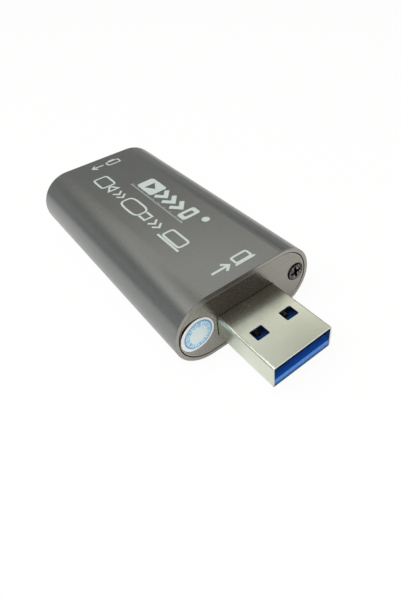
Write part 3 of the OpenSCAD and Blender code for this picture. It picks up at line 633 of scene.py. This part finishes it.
# %% Paint finish and the printing step
paint, tree, shader = new_finish("white_screen_paint", Specular_IOR_Level=0.4)
pores = grain(tree, 0.09 * MM, detail=3)
wear = grain(tree, 1.3 * MM, detail=4)
colour = mix(tree, step(tree, pores, 0.30, 0.55), (0.38, 0.43, 0.415), (0.50, 0.585, 0.565))
colour = mix(tree, step(tree, wear, 0.62, 0.80, 0, 0.35), colour, (0.34, 0.36, 0.35))
tree.links.new(colour, shader.inputs["Base Color"])
tree.links.new(step(tree, pores, 0.3, 0.7, 0.62, 0.48), shader.inputs["Roughness"])
bump(tree, shader, pores, 0.008 * MM, 0.5)


def moved(shapes, at, turn=0.0):
    """The shapes turned by that many degrees and moved, in millimetres."""
    c, s = math.cos(math.radians(turn)), math.sin(math.radians(turn))
    spin = np.array([[c, s], [-s, c]])
    return [(np.round(points @ spin, 6) + at, faces) for points, faces in shapes]


def gather(shapes):
    """All shapes as one set of flat points in metres, their faces, and the layer of each point: 0, 1 or 2
    microns, by the shape's number."""
    layers, micron = 3, 0.001 * MM
    counts = np.array([len(points) for points, _ in shapes])
    first = np.concatenate([[0], np.cumsum(counts)[:-1]])
    flat = np.concatenate([points for points, _ in shapes]) * MM
    faces = np.concatenate([f + start for (_, f), start in zip(shapes, first)])
    return flat, faces, np.repeat(np.arange(len(shapes)) % layers, counts) * micron


def thicken(piece, depth):
    """Gives a film that depth downwards from its outer face."""
    film = piece.modifiers.new("film", "SOLIDIFY")
    film.thickness, film.offset = depth, -1


def print_on_top(name, shapes, film=0.02 * MM, key=0.01 * MM):
    """One painted piece of many flat shapes that stand a film above the sleeve's top and key into it."""
    flat, faces, layer = gather(shapes)
    piece = put(name, np.column_stack([flat, top_z + film + layer]), faces, paint)
    thicken(piece, film + key)


print("paint:", paint.name)

# %% [markdown]
# ## The printed signs
# From the socket's end to the plug's end: a screen with an arrow that goes in, a heavy band with a play
# sign, three big angle brackets, a frame and a dot for recording, a fine time scale under it, a long row
# that shows the way from the camera through the box to the computer, and an arrow that comes out. The two
# long rows run along the box, and the sign at each end is turned to be read from that end.

# %% Print the signs
mark_in = moved(screen(2.9, 2.0, 0.34), (-1.8, 0)) + moved(arrow(2.7, 1.7, 0.36), (1.75, 0))
print_on_top("print_in", moved(mark_in, (-29.0, 0.4), -90))

band_y = 3.0
play_screen = [between(pillow(5.6, 3.9, 9), facing_triangle(0.72) - [0.12, 0])]
band = moved(play_screen, (-13.3, band_y)) + moved(chevrons(3, 1.8, 2.9, 2.7, 0.95), (-6.2, band_y))
band += moved([between(pillow(2.4, 3.9, 6), pillow(1.0, 2.1, 6))], (-0.1, band_y))
record = [between(circle(0.75), circle(0.0))]
print_on_top("print_video_band", band + moved(record, (3.6, 4.2)))

ticks, scale_foot = np.linspace(-17.0, 1.4, 47), 0.28
heights = np.where(np.arange(len(ticks)) % 5 == 0, 0.62, 0.36)
scale_line = [ribbon([[x, scale_foot], [x, scale_foot + h]], 0.13) for x, h in zip(ticks, heights)]
print_on_top("print_time_scale", scale_line)

line, row_y = 0.42, -3.3
small_pair = chevrons(2, 1.0, 1.9, 1.5, line)
row = moved(film_camera(6.4, 3.0, line), (-20.9, row_y)) + moved(small_pair, (-15.1, row_y))
row += moved(small_box(8.6, 3.0, line), (-8.3, row_y)) + moved(small_pair, (-1.4, row_y))
row += moved(portable(6.6, 3.0, line), (4.6, row_y))
print_on_top("print_signal_row", row)

mark_out = moved(arrow(3.4, 1.9, 0.46), (-2.3, 0)) + moved(portable(4.0, 2.1, 0.42), (2.1, 0))
print_on_top("print_out", moved(mark_out, (16.25, 0.1), 90))

# %% [markdown]
# ## The paper seal
# A round paper seal is glued over one screw, so that nobody opens the box unseen. The raised head holds the
# paper off the plate, so its outer edge hangs free over a dark gap, and it comes down to the metal on the
# plug's side. The CAD disc has the right size but lies dead flat on the head, so a disc with relief stands
# for it: a profile that runs out over the face and in again along the back, carried round the seal's axis,
# on the sagging paper's height.

# %% Seal surface
seal_mid = (seal_low + seal_high) / 2
seal_r = (seal_high.y - seal_low.y) / 2
seal_t = seal_high.x - seal_low.x
head_r = (screws_high.z - screws_low.z) / 2
screw_at = np.array([screws_low.y + head_r, (screws_low.z + screws_high.z) / 2])
bulge, glue = 0.10 * MM, 0.003 * MM
landing = np.hypot(seal_mid.y - screw_at[0], seal_mid.z - screw_at[1]) + 0.95 * seal_r


def seal_height(y, z):
    """Height of the seal's face: flat a little above the screw's head, then down to the plate on a smooth S
    of the distance from the screw's axis, three squares of the share less two cubes."""
    share = np.clip((np.hypot(y - screw_at[0], z - screw_at[1]) - head_r) / (landing - head_r), 0, 1)
    lift = (seal_low.x - plate_high.x + bulge) * (1 - share * share * (3 - 2 * share))
    return plate_high.x + glue + lift + seal_t


def seal_surface(rings=26, spokes=96):
    """Points at r(u) along the profile and angle v round the axis; r goes from the face's middle out to the
    edge and in again along the back, and both take the height of the paper there."""
    out = np.linspace(0.0, 1.0, rings)
    radius = np.concatenate([out, out[::-1]])[:, None] * seal_r
    angle = np.linspace(0, 2 * np.pi, spokes, endpoint=False)[None, :]
    y, z = seal_mid.y + radius * np.cos(angle), seal_mid.z + radius * np.sin(angle)
    back = (np.arange(2 * rings) >= rings)[:, None]
    return (np.stack([seal_height(y, z) - seal_t * back, y, z], -1).reshape(-1, 3),
            squares(2 * rings, spokes, round_columns=True))


print("seal of radius %.2f mm" % (seal_r / MM))

# %% [markdown]
# ## What is printed on the seal
# Seals of this kind carry a pale blue ring with the twelve months as plain numbers, so that the maker can
# punch a date, and a tick between each two. The rings depend only on the distance from the print's middle
# and the ticks only on the angle, so both come from the finish; the numbers are tiny ribbons laid on the
# paper. A seal is punched out after printing, never quite true, so the print lies a little off the paper's
# middle. The glued back is painted dark: painted shade for the gap under the paper's lifted edge.

# %% Seal finish
seal_paper, tree, shader = new_finish("seal_paper_print", Specular_IOR_Level=0.45)
print_mid = seal_mid + Vector((0, 0.13, 0.05)) * MM
centred = add(tree, "ShaderNodeMapping", {"Vector": here(tree), "Location": tuple(-print_mid)})
place = axes(tree, centred.outputs[0])
way = far(tree, place["Y"], place["Z"])
angle = sum_up(tree, "ARCTAN2", place["Z"], place["Y"])
fibre = grain(tree, 0.12 * MM, stretch=(1, 1, 3), detail=4)
soft = 0.03 * MM
# In shares of the seal's radius: the months' ring, the inner end of its ticks and the line round it.
months_in, months_out, tick_in, border_in, border_out = 0.51, 0.80, 0.54, 0.775, 0.855


def ring(low, high):
    """1 between two distances from the print's middle, in shares of the seal's radius."""
    return sum_up(tree, "MULTIPLY", step(tree, way, low * seal_r - soft, low * seal_r + soft),
                  step(tree, way, high * seal_r - soft, high * seal_r + soft, 1, 0))


between_months = sum_up(tree, "PINGPONG", sum_up(tree, "ADD", angle, math.pi * 13 / 12), math.pi / 12)
tick = sum_up(tree, "MULTIPLY", ring(tick_in, months_out), step(tree, between_months, 0.030, 0.055, 1, 0))
paper = mix(tree, step(tree, fibre, 0.3, 0.7), (0.82, 0.87, 0.88), (0.89, 0.93, 0.94))
paper = mix(tree, ring(-1, months_in), paper, (0.76, 0.88, 0.91))
paper = mix(tree, ring(months_in, months_out), paper, (0.67, 0.90, 1.00))
paper = mix(tree, tick, paper, (0.22, 0.48, 0.78))
paper = mix(tree, ring(border_in, border_out), paper, (0.13, 0.35, 0.64))
facing = axes(tree, add(tree, "ShaderNodeNewGeometry").outputs["True Normal"])["X"]
# Painted shade: the back of the paper goes dark.
back = step(tree, facing, -0.3, 0.0, 1, 0)
tree.links.new(mix(tree, back, paper, (0.030, 0.028, 0.026)), shader.inputs["Base Color"])
tree.links.new(step(tree, fibre, 0.3, 0.7, 0.38, 0.50), shader.inputs["Roughness"])
bump(tree, shader, fibre, 0.006 * MM, 0.4)

points, faces = seal_surface()
seal = put("tamper_seal_paper", points, faces, seal_paper)
nodes["tamper_seal"].data.materials.clear()
nodes["tamper_seal"].data.materials.append(seal_paper)
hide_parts("tamper_seal")

# %% Numbers on the seal
strokes = {"0": [[(0, 0), (1, 0), (1, 2), (0, 2), (0, 0)]],
           "1": [[(0.2, 1.6), (0.6, 2), (0.6, 0)]],
           "2": [[(0, 2), (1, 2), (1, 1), (0, 1), (0, 0), (1, 0)]],
           "3": [[(0, 2), (1, 2), (1, 0), (0, 0)], [(0.2, 1), (1, 1)]],
           "4": [[(0, 2), (0, 1), (1, 1)], [(1, 2), (1, 0)]],
           "5": [[(1, 2), (0, 2), (0, 1), (1, 1), (1, 0), (0, 0)]],
           "6": [[(1, 2), (0, 2), (0, 0), (1, 0), (1, 1), (0, 1)]],
           "7": [[(0, 2), (1, 2), (0.4, 0)]],
           "8": [[(0, 0), (1, 0), (1, 2), (0, 2), (0, 0)], [(0, 1), (1, 1)]],
           "9": [[(0, 0), (1, 0), (1, 2), (0, 2), (0, 1), (1, 1)]]}


def number_shapes(text, height, line):
    """Ribbons of the digits of a number, about its own middle, in millimetres."""
    unit, gap = height / 2, 0.35 * height
    wide = len(text) * unit + (len(text) - 1) * gap
    return [ribbon((np.array(path) * unit) + [k * (unit + gap) - wide / 2, -height / 2], line)
            for k, digit in enumerate(text) for path in strokes[digit]]


months, number_height, number_line = [], 0.54, 0.13
numbers_r = 0.65 * seal_r / MM
for month in range(1, 13):
    bearing = 90 - 30 * month
    at = numbers_r * np.array([math.cos(math.radians(bearing)), math.sin(math.radians(bearing))])
    months += moved(number_shapes(str(month), number_height, number_line), at, bearing - 90)
flat, faces, layer = gather(months)
flat += [print_mid.y, print_mid.z]
ink_film = 0.004 * MM
points = np.column_stack([seal_height(flat[:, 0], flat[:, 1]) + ink_film + layer, flat])
month_ink = moulded("seal_number_ink", (0.14, 0.36, 0.62), (0.19, 0.41, 0.67), 0.5)
numbers = put("tamper_seal_numbers", points, faces, month_ink)
thicken(numbers, 3 * ink_film)

# %% [markdown]
# ## Floor and light
# Metal shows little of its own colour: what one sees on it is the room, so the room decides how the box
# looks. Behind the box the sky is a stack of soft bands, dim low down, dark below half height, bright at
# two thirds, dark again higher up and bright overhead, and so the top goes slowly from dark at the far end
# to light at the near one. In front, where the camera stands, the room is dark, which is the deep tone over
# the plug's root. Paper, paint and plastic scatter light instead of mirroring it, so soft lamps light them:
# one low in front for the seal and the tongue, one above on the left for the print and the table, and a
# small one behind for the plug's top. The table is white by its own colour. The camera sees nearly all of
# it as plain white, so that the background is clean, and a reflection sees it partly so and partly as it is
# lit, with the box's shadow.

# %% Floor
floor_mesh = bpy.data.meshes.new("floor")
reach, floor_gap = 1.5, 0.05 * MM
corners = [(-reach, -reach, 0), (reach, -reach, 0), (reach, reach, 0), (-reach, reach, 0)]
floor_mesh.from_pydata(corners, [], [(0, 1, 2, 3)])
floor = bpy.data.objects.new("floor", floor_mesh)
floor.location.z = -floor_gap
bpy.context.scene.collection.objects.link(floor)
floor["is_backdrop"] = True

white, tree, shader = new_finish("white_table", Roughness=0.9, Base_Color=(0.86, 0.86, 0.86, 1))
clean_to_camera, clean_to_gloss = 0.95, 0.30
path = add(tree, "ShaderNodeLightPath").outputs
seen = sum_up(tree, "MAXIMUM", sum_up(tree, "MULTIPLY", path["Is Camera Ray"], clean_to_camera),
              sum_up(tree, "MULTIPLY", path["Is Glossy Ray"], clean_to_gloss))
clean = add(tree, "ShaderNodeEmission", {"Color": (1, 1, 1, 1), "Strength": 1.0})
both = add(tree, "ShaderNodeMixShader", {0: seen, 1: shader.outputs[0], 2: clean.outputs[0]})
tree.links.new(both.outputs[0], tree.nodes["Material Output"].inputs["Surface"])
floor_mesh.materials.append(white)
print("floor laid")

# %% World
cool, warm, red = np.array((0.94, 1.00, 1.03)), np.array((1.12, 1.00, 0.88)), np.array((1.60, 0.70, 0.40))


def bands(tree, height, tones, low, high):
    """Light that goes straight from tone to tone between heights of 0 and 1, and from the low tint to the
    high one."""
    ramp = add(tree, "ShaderNodeValToRGB", {0: height})
    stops = ramp.color_ramp.elements
    for at, tone in tones:
        stop = {0.0: stops[0], 1.0: stops[-1]}.get(at) or stops.new(at)
        stop.color = (*(tone * (low + (high - low) * at)), 1)
    return ramp.outputs[0]


world = bpy.data.worlds.new("studio")
bpy.context.scene.world = world
world.use_nodes = True
tree = world.node_tree
background = tree.nodes["Background"]
toward = axes(tree, add(tree, "ShaderNodeTexCoord").outputs["Generated"])
sky_tones = ((0.00, 0.09), (0.20, 0.64), (0.35, 0.45), (0.45, 0.01), (0.55, 0.36), (0.67, 1.90),
             (0.75, 0.38), (0.85, 0.04), (1.00, 1.50))
behind = bands(tree, toward["Z"], sky_tones, cool, warm)
front = bands(tree, toward["Z"], ((0.00, 0.01), (1.00, 0.05)), cool, red)
sky = mix(tree, step(tree, toward["X"], -0.10, 0.55), behind, front)
seen = add(tree, "ShaderNodeLightPath").outputs["Is Camera Ray"]
tree.links.new(mix(tree, seen, sky, (1, 1, 1)), background.inputs["Color"])
print("sky of", len(sky_tones), "tones")

# %% Lamps
def lamp(name, place, size, power):
    """A square soft light of that size in metres and power in watts, that faces the origin."""
    data = bpy.data.lights.new(name, "AREA")
    data.size, data.energy = size, power
    made = bpy.data.objects.new(name, data)
    made.location = place
    made.rotation_euler = (-Vector(place)).to_track_quat("-Z", "Y").to_euler()
    bpy.context.scene.collection.objects.link(made)


lamp("soft_light_low_front", (0.45, -0.05, 0.08), 0.30, 0.76)
lamp("soft_light_above_left", (0.0, -0.20, 0.40), 0.30, 1.60)
lamp("soft_light_behind", (-0.18, 0.12, 0.40), 0.15, 0.04)
print(len(bpy.data.lights), "lamps lit")

# %% [markdown]
# ## Camera
# The photograph was taken from close by, above the plug's left corner, with a wide lens: that is why the
# near end looks so much larger. A camera that is fitted to the outlines of the sleeve and the plug gives
# its place, its aim, a slight roll and the lens for a picture of 401 by 601.

# %% Camera
data = bpy.data.cameras.new("camera")
data.sensor_width = 36.0
data.lens = 26.55
data.shift_x, data.shift_y = -0.0441, -0.0489
data.clip_start, data.clip_end = 0.001, 10
camera = bpy.data.objects.new("camera", data)
camera_at = Vector((59.508, -30.743, 58.974)) * MM
camera_aim = Vector((11.081, 2.591, 6.6)) * MM
level_turn = (camera_aim - camera_at).to_track_quat("-Z", "Y").to_matrix()
roll = Matrix.Rotation(math.radians(-5.498), 3, "Z")
camera.matrix_world = Matrix.Translation(camera_at) @ (level_turn @ roll).to_4x4()
bpy.context.scene.collection.objects.link(camera)
bpy.context.scene.camera = camera
bpy.context.scene.view_settings.view_transform = "Standard"
print("camera at", [round(c / MM, 1) for c in camera_at], "mm")

# %% [markdown]
# ## Sizes and the end
# The paint stands a film proud of the CAD box; the last cell prints by how much the dressed box does.
# The dressed box may stand only a film of paint proud of the CAD box.

# %% Print the sizes and finish
shown_low, shown_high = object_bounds()
proud = [max(a - b, d - c) for a, b, c, d in zip(cad_low, shown_low, cad_high, shown_high)]
print("stands proud by mm:", [round(p / MM, 3) for p in proud])
